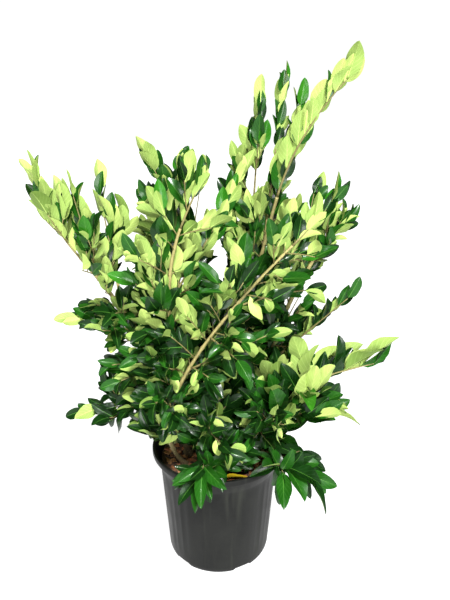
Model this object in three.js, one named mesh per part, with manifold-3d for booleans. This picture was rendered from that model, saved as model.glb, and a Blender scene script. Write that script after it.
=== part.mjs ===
// A potted Japanese privet: a many-stemmed evergreen shrub in a round nursery pot.
// Millimetres, +Z up. The origin is the middle of the pot's flat underside, and -Y is the front.
import * as THREE from "three";
import { mergeVertices } from "three/addons/utils/BufferGeometryUtils.js";
import Module from "manifold-3d";

const wasm = await Module();
wasm.setup();
const { clamp, lerp } = THREE.MathUtils;

// Driving dimensions

const GAP = 0.3; // clearance between neighbouring solids
const SLIVER = 0.02; // faces thinner than this are smoothed away
const POT = {
  height: 250,
  rimRadius: 140, // outside of the lip
  lipHeight: 12,
  lipUnderRadius: 136,
  collarDrop: 38, // from the rim's top to the foot of the flared collar
  wallTopRadius: 124,
  wallFootRadius: 110,
  baseRadius: 103, // where the rounded foot meets the flat underside
  footRound: 14,
  wall: 2.2,
  floor: 3,
  drains: 5,
  drainWidth: 40,
  drainHeight: 10,
  drainDepth: 20,
  drainTurn: 0.49, // radians from the front to the first drain notch
  segments: 40,
};
const SOIL = { top: 226, segments: 20 };
const LIMB = {
  sides: 6,
  steps: 6,
  boughSteps: 3,
  flare: 1.7, // how many times wider a stem is at its foot
  flareHeight: 60,
  boughRadius: 3.4,
  boughTipRadius: 2.4,
};
const SPRAY = {
  seed: 42,
  stemRadius: 3, // to a corner of the three-sided stem
  tipRadius: 1.3,
  stemSteps: 3,
  internode: 28, // between leaf pairs on a stem
  firstNode: 16, // from the start of a stem to its first pair
  lastNode: 4, // the least from a stem's last pair to its tip
  turnJitter: 0.25, // radians either way, round the stem
  twigEvery: 3, // each third pair is a pair of side twigs
  twigLength: 74,
  twigShrink: 0.6, // how much shorter twigs are at the tip than at the foot
  twigLean: 0.8, // radians from the stem
  twigRise: 8,
  twigRadius: 1.4,
  twigInternode: 30,
  reach: 125, // furthest that a leaf may stand from its own stem
  clear: 1.6, // from the spaces of other sprays
  limbClear: 3, // from other limbs
  leafClear: 4, // between leaves of one spray, from point to point
  tries: 5, // places that a leaf tries before it is left out
  shrink: 0.9, // how much smaller it gets at each further try
  most: 24, // leaves on one spray
};
const LEAF = {
  length: 88,
  width: 50,
  fold: 3, // depth of the keel under the midrib
  shoulder: 0.36, // share of the length where the leaf is first at its full width
  nape: 0.64, // and where it last is
  rootOffset: 0.4, // from the middle of the stem to the leaf's root, inside the stem
  sizeFoot: 1.05, // size of the lowest leaves of a stem
  sizeTip: 0.7,
  sizeSpread: 0.1,
  spreadLevel: 1.05, // radians from a level stem
  spreadUpright: 0.68, // and from an upright one
  spreadTip: 0.42, // and near the tip of either
  spreadLast: 0.1, // for the one leaf at the very tip
  roll: 0.7, // radians either way, round the leaf's own midrib
  skyward: 0.8, // how strongly upper sides turn to the sky
  leastLift: 0.2, // the least share of a shoot's lift that a leaf takes
  // Lift of the leaves, from the height of the shoot's tip.
  poise: { level: 660, range: 220, least: -0.25, most: 0.8 },
};
const SAMPLES = { stem: 60, bough: 24, spray: 16, twig: 6 };
const FINISH = {
  pot: { color: 0x3a3b3b, roughness: 0.5 },
  soil: { color: 0x5e3f2a, roughness: 0.95 },
  bark: { color: 0x9b8058, roughness: 0.8 },
  foliage: { color: 0x3f7a24, roughness: 0.4 },
};

// Main stems: foot on the soil, bend, top, and radius at foot and top.
const STEMS = {
  tall: { foot: [22, 4], bend: [44, 18, 510], top: [108, -20, 772], radius: [6.8, 2.8] },
  right: { foot: [-64, -40], bend: [-180, -132, 390], top: [126, -128, 708], radius: [4.4, 2.1] },
  middle: { foot: [-4, -46], bend: [-128, -112, 560], top: [-60, -120, 735], radius: [5.6, 2.5] },
  middle_left: { foot: [-28, 16], bend: [-44, 14, 500], top: [-74, -20, 745], radius: [6.5, 3] },
  left: { foot: [-62, -6], bend: [-110, -52, 500], top: [-245, -66, 672], radius: [7, 3] },
  right_low: { foot: [54, -22], bend: [110, -66, 400], top: [198, -88, 446], radius: [6, 3] },
  right_high: { foot: [52, 22], bend: [96, 34, 480], top: [190, 22, 650], radius: [6.5, 3] },
  back_left: { foot: [-30, 52], bend: [-52, 122, 450], top: [-112, 172, 600], radius: [6.5, 3] },
  back_right: { foot: [20, 54], bend: [62, 124, 440], top: [112, 176, 580], radius: [6.5, 3] },
};

// Leafy shoots: the stem that each grows from, where along it (1 is its top), the shoot's tip,
// how far its middle is lifted off a straight line, the share of it that is a bare bough, the size
// of its leaves against the usual one, how far they lift or droop where that isn't the usual, and
// whether it is slender, with no side twigs.
const SHOOTS = {
  tall_right: { stem: "tall", at: 1, tip: [212, -60, 968], leaf: 1.15, poise: 1.3, slender: true },
  tall_centre: { stem: "tall", at: 0.5, tip: [76, 0, 930], lift: 20, bare: 0.5, leaf: 0.75 },
  tall_thin: {
    stem: "tall", at: 0.84, tip: [118, 24, 956], lift: 20, bare: 0.3, leaf: 0.65, slender: true,
  },
  tall_second: { stem: "tall", at: 0.88, tip: [143, -14, 926], leaf: 0.75 },
  right_long: { stem: "right", at: 1, tip: [188, -132, 782] },
  right_side: { stem: "right", at: 0.74, tip: [156, -156, 640], lift: 12 },
  middle_front: { stem: "middle", at: 1, tip: [-16, -122, 826] },
  middle_centre: { stem: "middle", at: 0.74, tip: [44, -46, 812], lift: -10 },
  middle_left: { stem: "middle_left", at: 1, tip: [-118, -28, 834] },
  left_upper: { stem: "left", at: 0.74, tip: [-212, -20, 782], bare: 0.35 },
  far_left: { stem: "left", at: 1, tip: [-308, -62, 802], leaf: 0.85, poise: 0.45 },
  left_side: { stem: "left", at: 0.62, tip: [-258, -64, 558], lift: 14, poise: -0.1 },
  left_low: { stem: "left", at: 0.45, tip: [-200, -96, 474], lift: 16 },
  left_lowest: { stem: "left", at: 0.22, tip: [-270, -24, 342], lift: 20, bare: 0.4 },
  low_left: {
    stem: "left", at: 0.08, tip: [-180, 10, 268], lift: 18, leaf: 0.75, poise: 0.1, slender: true,
  },
  right_low: { stem: "right_low", at: 1, tip: [290, -92, 476], leaf: 1.2, poise: 0.4, slender: true },
  right_middle: {
    stem: "right_high", at: 0.42, tip: [240, -58, 592], bare: 0.3, leaf: 0.85, poise: 0.4, slender: true,
  },
  right_bright: { stem: "right_low", at: 0.5, tip: [182, -150, 394], lift: 16, poise: 0.1 },
  rim_right: { stem: "right_low", at: 0.1, tip: [176, -132, 256], lift: 28, poise: -0.5 },
  right_high: { stem: "right_high", at: 1, tip: [242, 20, 716] },
  right_back: { stem: "right_high", at: 0.7, tip: [184, 130, 620] },
  back_left: { stem: "back_left", at: 1, tip: [-156, 192, 716] },
  back_left_side: { stem: "back_left", at: 0.6, tip: [-202, 172, 500], lift: 10, bare: 0.3 },
  back_low_left: { stem: "back_left", at: 0.34, tip: [-126, 252, 392], lift: 16 },
  back_tall: { stem: "back_left", at: 0.75, tip: [-34, 128, 790] },
  back_right: { stem: "back_right", at: 1, tip: [166, 206, 700] },
  back_right_side: { stem: "back_right", at: 0.62, tip: [206, 180, 480], lift: 10, bare: 0.3 },
  back_low_right: { stem: "back_right", at: 0.36, tip: [126, 262, 386], lift: 16 },
  back_centre: { stem: "back_right", at: 0.72, tip: [12, 252, 560] },
  rim_front: { stem: "middle", at: 0.06, tip: [-26, -182, 312], lift: 26, poise: -0.4 },
  front_centre: { stem: "middle", at: 0.2, tip: [14, -192, 352], lift: 26 },
  front_left: { stem: "right", at: 0.34, tip: [-104, -190, 448], lift: 20 },
  front_right: { stem: "right_low", at: 0.34, tip: [104, -182, 420], lift: 10 },
  front_high: { stem: "right", at: 0.62, tip: [34, -186, 528] },
  left_high: { stem: "left", at: 0.9, tip: [-240, -92, 784] },
  centre_right: { stem: "right_high", at: 0.5, tip: [150, -66, 600] },
  centre: { stem: "tall", at: 0.36, tip: [10, -44, 600] },
  centre_high: { stem: "tall", at: 0.44, tip: [26, -36, 770] },
  centre_front: { stem: "right", at: 0.48, tip: [84, -160, 560] },
  left_front: { stem: "left", at: 0.36, tip: [-112, -156, 520] },
  low_back_left: { stem: "back_left", at: 0.1, tip: [-168, 112, 322], lift: 10 },
  low_back_right: { stem: "back_right", at: 0.1, tip: [172, 118, 318], lift: 10 },
};

// Gaps of sky between the shoots: triangles in x and z on an upright plane, as the eye sees them.
const EYE = [14, -1036, 922];
const SKY_PLANE = -60; // the plane's y
const SKY = {
  under_far_left: [[-336, 784], [-196, 595], [-370, 595]],
  left_of_left_upper: [[-235, 845], [-210, 835], [-220, 730]],
  right_of_left_upper: [[-180, 860], [-135, 855], [-145, 730]],
  right_of_middle_left: [[-100, 895], [-45, 875], [-85, 830]],
  right_of_middle_front: [[-20, 890], [30, 890], [-5, 795]],
  by_tall_centre: [[80, 868], [100, 872], [78, 785]],
  right_of_tall_top: [[240, 955], [150, 872], [210, 845]],
  right_of_tall_foot: [[155, 875], [122, 785], [180, 830]],
  under_right_high: [[258, 740], [160, 615], [240, 650]],
  under_right_middle: [[225, 560], [145, 490], [210, 505]],
  over_right_low: [[225, 564], [340, 566], [220, 518]],
  under_right_low: [[340, 475], [205, 430], [280, 400]],
  under_right_bright: [[270, 345], [130, 312], [200, 259]],
  under_left_side: [[-315, 535], [-215, 525], [-260, 490]],
  left_of_left_low: [[-278, 514], [-226, 500], [-240, 402]],
  under_left_lowest: [[-315, 345], [-164, 296], [-245, 220]],
  left_of_rim: [[-238, 298], [-139, 292], [-147, 228]],
  left_of_middle_front: [[-50, 780], [-15, 787], [-30, 717]],
  under_tall_centre: [[43, 816], [77, 811], [61, 777]],
  right_window: [[119, 596], [152, 594], [137, 552]],
  centre_window: [[-9, 662], [19, 671], [7, 619]],
  far_left_window: [[-213, 731], [-188, 736], [-202, 711]],
  left_window: [[-73, 636], [-57, 638], [-65, 605]],
};

// Helpers for solids

const vector = (p) => new THREE.Vector3(...p);

function solidOf(geometry) {
  const bare = new THREE.BufferGeometry();
  bare.setAttribute("position", geometry.getAttribute("position"));
  bare.setIndex(geometry.getIndex());
  const merged = mergeVertices(bare, 1e-4);
  return new wasm.Manifold(
    new wasm.Mesh({
      numProp: 3,
      vertProperties: merged.getAttribute("position").array,
      triVerts: new Uint32Array(merged.getIndex().array),
    }),
  );
}

function geometryOf(solid) {
  const mesh = solid.simplify(SLIVER).getMesh();
  const geometry = new THREE.BufferGeometry();
  geometry.setAttribute("position", new THREE.BufferAttribute(mesh.vertProperties, 3));
  geometry.setIndex(new THREE.BufferAttribute(mesh.triVerts, 1));
  geometry.computeVertexNormals();
  return geometry;
}

// The outer body of a solid: loose scraps are dropped and sealed hollows are filled.
function mainBody(solid) {
  return solid.decompose().reduce((best, body) => (body.volume() > best.volume() ? body : best));
}

function seeded(seed) {
  let state = seed >>> 0;
  return () => {
    state = (state + 0x6d2b79f5) >>> 0;
    let mixed = Math.imul(state ^ (state >>> 15), state | 1);
    mixed ^= mixed + Math.imul(mixed ^ (mixed >>> 7), mixed | 61);
    return ((mixed ^ (mixed >>> 14)) >>> 0) / 4294967296;
  };
}

// Pot and soil

function turned(profile, segments) {
  const points = profile.map(([radius, z]) => new THREE.Vector2(radius, z));
  return new THREE.LatheGeometry(points, segments).rotateX(Math.PI / 2);
}

function innerRadius(z) {
  const share = (z - POT.footRound) / (POT.height - POT.collarDrop - POT.footRound);
  const outside = lerp(POT.wallFootRadius, POT.wallTopRadius, clamp(share, 0, 1));
  return outside - POT.wall;
}

function potSolid() {
  const collarFoot = POT.height - POT.collarDrop;
  const lipFoot = POT.height - POT.lipHeight;
  const eighth = Math.PI / 4;
  const roundMiddle = [
    lerp(POT.baseRadius, POT.wallFootRadius, Math.sin(eighth)),
    POT.footRound * (1 - Math.cos(eighth)),
  ];
  const shell = solidOf(
    turned(
      [
        [0, 0],
        [POT.baseRadius, 0],
        roundMiddle,
        [POT.wallFootRadius, POT.footRound],
        [POT.wallTopRadius, collarFoot],
        [POT.lipUnderRadius - POT.wall, lipFoot],
        [POT.rimRadius, lipFoot],
        [POT.rimRadius, POT.height - POT.wall],
        [POT.rimRadius - POT.wall, POT.height],
        [POT.lipUnderRadius - POT.wall, POT.height],
        [POT.lipUnderRadius - 2 * POT.wall, lipFoot],
        [innerRadius(collarFoot), collarFoot],
        [innerRadius(POT.footRound), POT.footRound],
        [POT.baseRadius, POT.floor],
        [0, POT.floor],
      ],
      POT.segments,
    ),
  );
  const notches = Array.from({ length: POT.drains }, (_, i) => {
    const angle = POT.drainTurn - Math.PI / 2 + (i * 2 * Math.PI) / POT.drains;
    const notch = new THREE.BoxGeometry(2 * POT.drainDepth, POT.drainWidth, 2 * POT.drainHeight);
    notch.translate(POT.wallFootRadius, 0, 0).rotateZ(angle);
    return solidOf(notch);
  });
  return notches.reduce((pot, notch) => pot.subtract(notch), shell);
}

function soilSolid() {
  const foot = POT.floor + GAP;
  const shoulder = POT.footRound + GAP;
  return solidOf(
    turned(
      [
        [0, foot],
        [POT.baseRadius - 2 * GAP, foot],
        [innerRadius(shoulder) - 2 * GAP, shoulder],
        [innerRadius(POT.height - POT.collarDrop) - GAP, POT.height - POT.collarDrop],
        [innerRadius(SOIL.top) - GAP, SOIL.top],
        [0, SOIL.top],
      ],
      SOIL.segments,
    ),
  );
}

// Limbs

// The stretch of a quadratic curve between two of its parameters, as a curve of its own.
function stretch(curve, from, to) {
  const start = curve.getPoint(from);
  const slope = curve.v1.clone().sub(curve.v0).multiplyScalar(1 - from);
  slope.addScaledVector(curve.v2.clone().sub(curve.v1), from);
  const bend = start.clone().addScaledVector(slope, to - from);
  return new THREE.QuadraticBezierCurve3(start, bend, curve.getPoint(to));
}

// A closed tapering tube along a curve, with flat ends square to it or, at a foot, level with the ground.
function tube(curve, radiusAt, sides, steps, levelFoot = false) {
  const frames = curve.computeFrenetFrames(steps, false);
  const positions = [];
  const index = [];
  for (let i = 0; i <= steps; i++) {
    const centre = curve.getPointAt(i / steps);
    const radius = radiusAt(i / steps);
    for (let k = 0; k < sides; k++) {
      const angle = (2 * Math.PI * k) / sides;
      const out = frames.normals[i].clone().multiplyScalar(Math.cos(angle));
      out.addScaledVector(frames.binormals[i], Math.sin(angle));
      const point = centre.clone().addScaledVector(out, radius);
      if (levelFoot && i === 0) point.z = centre.z;
      positions.push(point.x, point.y, point.z);
      if (i < steps) {
        const a = i * sides + k;
        const b = i * sides + ((k + 1) % sides);
        index.push(a, b, a + sides, b, b + sides, a + sides);
      }
    }
  }
  const last = steps * sides;
  for (let k = 1; k < sides - 1; k++) {
    index.push(0, k + 1, k, last, last + k, last + k + 1);
  }
  const geometry = new THREE.BufferGeometry();
  geometry.setAttribute("position", new THREE.Float32BufferAttribute(positions, 3));
  geometry.setIndex(index);
  return solidOf(geometry);
}

function taper(from, to) {
  return (share) => lerp(from, to, share);
}

function stemTaper({ radius }, curve) {
  const length = curve.getLength();
  return (share) => {
    const swell = Math.max(0, 1 - (share * length) / LIMB.flareHeight);
    return taper(...radius)(share) * (1 + (LIMB.flare - 1) * swell * swell);
  };
}

const stems = new Map();
for (const [name, stem] of Object.entries(STEMS)) {
  const foot = new THREE.Vector3(...stem.foot, SOIL.top + GAP);
  const curve = new THREE.QuadraticBezierCurve3(foot, vector(stem.bend), vector(stem.top));
  const radiusAt = stemTaper(stem, curve);
  stems.set(name, { curve, radiusAt, solid: tube(curve, radiusAt, LIMB.sides, LIMB.steps, true) });
}

// The same limb a clearance wider, for cutting the seat of what grows from it.
function seatCutter({ curve, radiusAt }) {
  return tube(curve, (share) => radiusAt(share) + GAP, LIMB.sides, LIMB.steps);
}

function shootCurve({ stem, at, tip, lift = 0 }) {
  const parent = stems.get(stem).curve;
  const start = parent.getPointAt(at);
  const end = vector(tip);
  const bend = start.clone().lerp(end, 0.5);
  if (at === 1) {
    bend.copy(start).addScaledVector(parent.getTangentAt(1), 0.5 * start.distanceTo(end));
  }
  bend.z += lift;
  return new THREE.QuadraticBezierCurve3(start, bend, end);
}

const shoots = new Map();
for (const [name, shoot] of Object.entries(SHOOTS)) {
  const whole = shootCurve(shoot);
  const bare = shoot.bare ?? 0;
  const tipGap = bare || shoot.at === 1 ? GAP / whole.getLength() : 0;
  shoots.set(name, {
    ...shoot,
    parent: stems.get(shoot.stem),
    bough: bare ? stretch(whole, 0, bare) : null,
    axis: stretch(whole, bare + tipGap, 1),
  });
}

const boughTaper = taper(LIMB.boughRadius, LIMB.boughTipRadius);

function boughSolid({ parent, bough }) {
  const limb = tube(bough, boughTaper, LIMB.sides, LIMB.boughSteps);
  return mainBody(limb.subtract(seatCutter(parent)));
}

// Spaces of the sprays

function sampled(curve, radiusAt, count) {
  return curve.getSpacedPoints(count).map((point, i) => ({ point, radius: radiusAt(i / count) }));
}

const limbSamples = [
  ...[...stems.values()].flatMap(({ curve, radiusAt }) => sampled(curve, radiusAt, SAMPLES.stem)),
  ...[...shoots.values()]
    .filter(({ bough }) => bough)
    .flatMap(({ bough }) => sampled(bough, boughTaper, SAMPLES.bough)),
];
for (const shoot of shoots.values()) {
  shoot.samples = shoot.axis.getSpacedPoints(SAMPLES.spray);
}

function distanceTo(samples, point) {
  let nearest = Infinity;
  for (let i = 0; i + 1 < samples.length; i++) {
    const line = new THREE.Line3(samples[i], samples[i + 1]);
    const foot = line.closestPointToPoint(point, true, new THREE.Vector3());
    nearest = Math.min(nearest, foot.distanceTo(point));
  }
  return nearest;
}

function insidePot(point) {
  const radius = Math.hypot(point.x, point.y);
  const overSoil = radius < innerRadius(SOIL.top) - SPRAY.clear && point.z > SOIL.top + SPRAY.clear;
  const outside = radius > POT.rimRadius + SPRAY.clear || point.z > POT.height + SPRAY.clear;
  return !overSoil && !outside;
}

function touchesLimb(point) {
  return limbSamples.some((limb) => limb.point.distanceTo(point) < limb.radius + SPRAY.limbClear);
}

// True where every point lies nearer to its own shoot than to any other, and clear of limbs and pot.
function inOwnSpace(points, own) {
  return points.every((point) => {
    const mine = distanceTo(own.samples, point);
    if (mine > SPRAY.reach || insidePot(point) || touchesLimb(point)) return false;
    for (const other of shoots.values()) {
      if (other !== own && distanceTo(other.samples, point) < mine + 2 * SPRAY.clear) return false;
    }
    return true;
  });
}

// Gaps of sky

const skyTriangles = Object.values(SKY).map((corners) => {
  return new THREE.Triangle(...corners.map(([x, z]) => new THREE.Vector3(x, SKY_PLANE, z)));
});

// True where the eye sees a point in a gap of sky.
function inSky(point) {
  const eye = vector(EYE);
  const sight = point.clone().sub(eye);
  const seen = eye.addScaledVector(sight, (SKY_PLANE - eye.y) / sight.y);
  return skyTriangles.some((triangle) => triangle.containsPoint(seen));
}

// Leaves and twigs

// Half of a leaf's width at a share of its length.
function halfWidth(along, size) {
  const narrowing = Math.min(1, along / LEAF.shoulder, (1 - along) / (1 - LEAF.nape));
  return (LEAF.width * size * narrowing) / 2;
}

// The point of a leaf at a share of its length and of its half width, raised off the midrib's line.
function leafPoint({ root, direction, across, up, size }, along, side, rise) {
  const point = root.clone().addScaledVector(direction, along * LEAF.length * size);
  point.addScaledVector(across, side * halfWidth(along, size));
  return point.addScaledVector(up, rise);
}

// A leaf folded along its midrib: pointed at both ends, with a keel below and its two edges level above.
function leafSolid(leaf) {
  const corners = [
    leafPoint(leaf, 0, 0, 0),
    leafPoint(leaf, LEAF.shoulder, 1, LEAF.fold),
    leafPoint(leaf, LEAF.nape, 1, LEAF.fold),
    leafPoint(leaf, 1, 0, 0),
    leafPoint(leaf, LEAF.nape, -1, LEAF.fold),
    leafPoint(leaf, LEAF.shoulder, -1, LEAF.fold),
  ];
  const upperSide = [0, 5, 1, 1, 5, 4, 1, 4, 2, 2, 4, 3];
  const lowerSide = [0, 1, 3, 1, 2, 3, 0, 3, 5, 5, 3, 4];
  const geometry = new THREE.BufferGeometry().setFromPoints(corners);
  geometry.setIndex([...upperSide, ...lowerSide]);
  return solidOf(geometry);
}

// Points spread over a leaf, apart from its root.
function spreadOver(leaf) {
  const shares = [0.2, 0.35, 0.5, 0.65, 0.8];
  const sides = [-1, -0.5, 0, 0.5, 1];
  const blade = shares.flatMap((along) => sides.map((side) => leafPoint(leaf, along, side, 0)));
  return [...blade, leafPoint(leaf, 1, 0, 0)];
}

// The direction that leans away from a stem's tangent, at a turn round it.
function leaning(tangent, turn, angle) {
  const upright = new THREE.Vector3(0, 0, 1);
  const across = new THREE.Vector3().crossVectors(tangent, upright).normalize();
  const away = across.applyAxisAngle(tangent, turn);
  return tangent.clone().multiplyScalar(Math.cos(angle)).addScaledVector(away, Math.sin(angle));
}

// Upper sides face the shoot's tip on an upright shoot and the sky on a level one.
function leafUp(tangent, direction, roll) {
  const up = tangent.clone().multiplyScalar(Math.abs(tangent.z));
  up.z += LEAF.skyward;
  up.addScaledVector(direction, -up.dot(direction)).normalize();
  return up.applyAxisAngle(direction, roll);
}

// A leaf at its place on a stem, or a little round it where that is taken, or none.
function addLeaf(spray, root, tangent, turn, spread, size) {
  const either = (range) => range * (2 * spray.random() - 1);
  if (spray.leaves.length === SPRAY.most) return;
  for (let attempt = 0; attempt < SPRAY.tries; attempt++) {
    const fitted = size * SPRAY.shrink ** attempt;
    const direction = leaning(tangent, turn + either(SPRAY.turnJitter), spread);
    if (spray.poise > 0) direction.z = Math.abs(direction.z);
    direction.z += spray.poise * lerp(LEAF.leastLift, 1, spray.random());
    direction.normalize();
    const up = leafUp(tangent, direction, either(LEAF.roll));
    const across = new THREE.Vector3().crossVectors(up, direction);
    const start = root.clone().addScaledVector(direction, LEAF.rootOffset);
    const leaf = { root: start, direction, across, up, size: fitted };
    const points = spreadOver(leaf);
    const crowded = spray.taken.some((other) => points.some((p) => p.distanceTo(other) < SPRAY.leafClear));
    if (!crowded && !points.some(inSky) && inOwnSpace(points, spray.own)) {
      spray.taken.push(...points);
      spray.leaves.push(leafSolid(leaf));
      return;
    }
  }
}

// A stem with leaf pairs that turn a quarter from pair to pair, and with side twigs where it is a main one.
function growStem(spray, curve, radii, internode, isMain) {
  const length = curve.getLength();
  const branches = isMain && !spray.own.slender;
  spray.wood.push(tube(curve, taper(...radii), 3, isMain ? SPRAY.stemSteps : 1));
  let turn = spray.random() * Math.PI;
  let pair = 0;
  for (let along = SPRAY.firstNode; along < length - SPRAY.lastNode; along += internode) {
    const share = along / length;
    const root = curve.getPointAt(share);
    const tangent = curve.getTangentAt(share);
    const spreadFoot = lerp(LEAF.spreadLevel, LEAF.spreadUpright, Math.abs(tangent.z));
    const spread = lerp(spreadFoot, LEAF.spreadTip, share);
    for (const side of [turn, turn + Math.PI]) {
      if (branches && pair % SPRAY.twigEvery === 1) {
        growTwig(spray, root, leaning(tangent, side, SPRAY.twigLean), 1 - SPRAY.twigShrink * share);
      } else {
        const size = lerp(LEAF.sizeFoot, LEAF.sizeTip, share);
        const varied = size + LEAF.sizeSpread * (2 * spray.random() - 1);
        addLeaf(spray, root, tangent, side, spread, varied * spray.leafScale);
      }
    }
    turn += Math.PI / 2;
    pair += 1;
  }
  const tangent = curve.getTangentAt(1);
  const tip = curve.getPointAt(1).addScaledVector(tangent, -SPRAY.tipRadius);
  addLeaf(spray, tip, tangent, turn, LEAF.spreadLast, LEAF.sizeTip * spray.leafScale);
}

function growTwig(spray, root, direction, share) {
  const end = root.clone().addScaledVector(direction, SPRAY.twigLength * share);
  end.z += SPRAY.twigRise;
  const curve = new THREE.LineCurve3(root, end);
  const clearOfStem = curve.getSpacedPoints(SAMPLES.twig).slice(1);
  if (clearOfStem.some(inSky) || !inOwnSpace(clearOfStem, spray.own)) return;
  growStem(spray, curve, [SPRAY.twigRadius, SPRAY.tipRadius], SPRAY.twigInternode, false);
}

function spraySolid(own, seed) {
  const { level, range, least, most } = LEAF.poise;
  const poise = own.poise ?? clamp((own.tip[2] - level) / range, least, most);
  const leafScale = own.leaf ?? 1;
  const spray = { own, poise, leafScale, random: seeded(seed), wood: [], leaves: [], taken: [] };
  growStem(spray, own.axis, [SPRAY.stemRadius, SPRAY.tipRadius], SPRAY.internode, true);
  const fused = wasm.Manifold.union([...spray.wood, ...spray.leaves]);
  return mainBody(own.bough || own.at === 1 ? fused : fused.subtract(seatCutter(own.parent)));
}

// Assembly

const plant = new THREE.Group();
plant.name = "potted_privet";

function addNode(name, solid, finish) {
  const material = new THREE.MeshStandardMaterial({ ...finish, metalness: 0 });
  const mesh = new THREE.Mesh(geometryOf(solid), material);
  mesh.name = name;
  plant.add(mesh);
}

addNode("pot", potSolid(), FINISH.pot);
addNode("soil", soilSolid(), FINISH.soil);
for (const [name, { solid }] of stems) addNode(`stem_${name}`, solid, FINISH.bark);
[...shoots].forEach(([name, shoot], i) => {
  if (shoot.bough) addNode(`bough_${name}`, boughSolid(shoot), FINISH.bark);
  addNode(`foliage_${name}`, spraySolid(shoot, SPRAY.seed + i), FINISH.foliage);
});

export default plant;
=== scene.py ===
"""A potted Japanese privet: pot, bark mix, stems and leafy shoots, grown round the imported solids."""
import math
import random

import bpy
import numpy as np
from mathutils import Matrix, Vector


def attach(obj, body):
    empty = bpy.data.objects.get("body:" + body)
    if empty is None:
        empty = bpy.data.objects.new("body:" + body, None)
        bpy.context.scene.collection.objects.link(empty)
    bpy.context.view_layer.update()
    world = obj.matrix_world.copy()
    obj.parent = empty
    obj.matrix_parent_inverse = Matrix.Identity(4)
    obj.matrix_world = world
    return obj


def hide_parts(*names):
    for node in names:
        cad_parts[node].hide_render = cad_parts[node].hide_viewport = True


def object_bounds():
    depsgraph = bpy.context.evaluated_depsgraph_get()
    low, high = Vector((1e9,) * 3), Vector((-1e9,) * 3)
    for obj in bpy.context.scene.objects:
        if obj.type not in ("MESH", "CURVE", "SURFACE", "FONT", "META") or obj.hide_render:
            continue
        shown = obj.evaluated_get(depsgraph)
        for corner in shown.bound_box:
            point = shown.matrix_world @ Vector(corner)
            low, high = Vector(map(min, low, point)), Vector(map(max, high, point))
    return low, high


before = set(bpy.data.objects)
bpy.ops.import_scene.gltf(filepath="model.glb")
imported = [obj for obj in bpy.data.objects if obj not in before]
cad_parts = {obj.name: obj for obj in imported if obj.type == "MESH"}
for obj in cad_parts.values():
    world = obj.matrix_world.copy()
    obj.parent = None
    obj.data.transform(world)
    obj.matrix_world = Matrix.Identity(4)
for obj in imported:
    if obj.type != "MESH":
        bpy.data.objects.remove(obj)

CAD_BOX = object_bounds()
MM = 0.001  # the tables below are in millimetres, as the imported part's source is
UP = np.array([0.0, 0.0, 1.0])
LIGHT_FROM = np.array([10.0, -400.0, 0.0])  # how far leaves turn to the light in front
BACK = 120  # at this depth they no longer do
ROUND = 6.3  # just over a full turn, for phases
OFF_AXIS = np.array([0.31, 0.95, 0.05])  # no limb runs this way

# Driving sizes; a pair is a range, or the values at foot and tip, low and high, or level and upright.

POT = {
    "height": 250, "rim": 140, "lip_height": 12, "lip_under": 136, "collar_drop": 38,
    "wall_top": 124, "wall_foot": 110, "base": 103, "foot_round": 14, "wall": 2.2, "floor": 3,
    "drains": 5, "drain_width": 40, "drain_height": 10, "drain_depth": 20, "drain_turn": 0.49,
    "segments": 288, "crisp": math.radians(38),
}
# Outline of a drain, in half widths and heights.
DRAIN_ARCH = ((-1, -1), (1, -1), (1, 0.5), (0.8, 0.9), (0, 1), (-0.8, 0.9), (-1, 0.5))
FLUTES = {
    "groups": (-45, 55, 135, 235), "count": 3, "pitch": 9, "width": 8, "depth": 0.6,
    "foot": 26, "top": 206, "fade": 12,
}
SOIL = {
    "top": 226, "bump": 3.0, "bumps": 9, "settled": 4, "shoulder": 12, "foot": 15.0,
    "rings": 26, "segments": 96, "seed": 5,
}
CHIP = {
    "count": 620, "from_wall": 11, "length": (4, 12), "width": (2.5, 6), "thick": (0.8, 2.2),
    "chipped": (0.6, 1.1), "tilt": 0.6, "lift": (1, 4),
}
LIMB = {
    "flare": 1.7, "flare_height": 60, "bough": (3.4, 2.4),
    "sides": 14, "ring_pitch": 3.5, "sunk": 8, "stem_seed": 17, "bough_seed": 100,
}
RELIEF = {
    "ridges": (1, 2, 3, 5), "ridge": 0.05, "drift": 0.02,
    "scar_pitch": 27, "scar_first": 14, "scar_jitter": 4, "scar": 0.32, "scar_half": 2.6,
    "pore_pitch": 6, "pore": 0.28, "pore_long": 1.8, "pore_wide": 1.6,
}
SPRAY = {
    "seed": 54, "radius": (2.3, 0.8), "internode": (18, 21),
    "first": 10, "last": 3, "turn_jitter": 0.3, "twig_every": 3, "until": (0.65, 0.6),
    "twig_length": 74, "twig_shrink": 0.6, "twig_lean": 0.8, "twig_rise": 8, "twig_radius": (1.2, 0.8),
    "twig_internode": 16, "fine_share": 0.5, "fine_least": 36, "fine_radius": 0.75, "space": 24,
    "tries": 9, "shrink": 0.965, "least_leaves": 3, "sides": 6, "ring_pitch": 9,
}
SPUR = {
    "seed": 7, "pitch": (14, 26), "first": 14, "top": 740, "lean": (1.3, 0.95), "length": (40, 84), "rise": 4,
}
LEAF = {
    "length": 48, "width": 24, "size": (1.02, 0.92), "size_jitter": 0.2,
    "spread": (0.9, 0.5), "spread_tip": 0.3, "spread_last": 0.12, "spread_jitter": 0.15,
    "roll": 0.55, "turned": (0.21, 0.54), "skyward": 0.6, "outward": 0.9, "inward": 0.9,
    "flattened": 0.65, "in_sky": 2, "stalk": 0.08, "stalk_half": 0.9, "stalk_taper": 0.9,
    "rib_half": 0.65, "rib_share": 0.45, "rib_thick": 0.35, "thick": 0.6, "shoulder": 0.58, "point": 0.8,
    "late_bend": 1.4, "cup": 1.25, "waves": 9, "wave_lag": 1.4,
}
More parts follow.
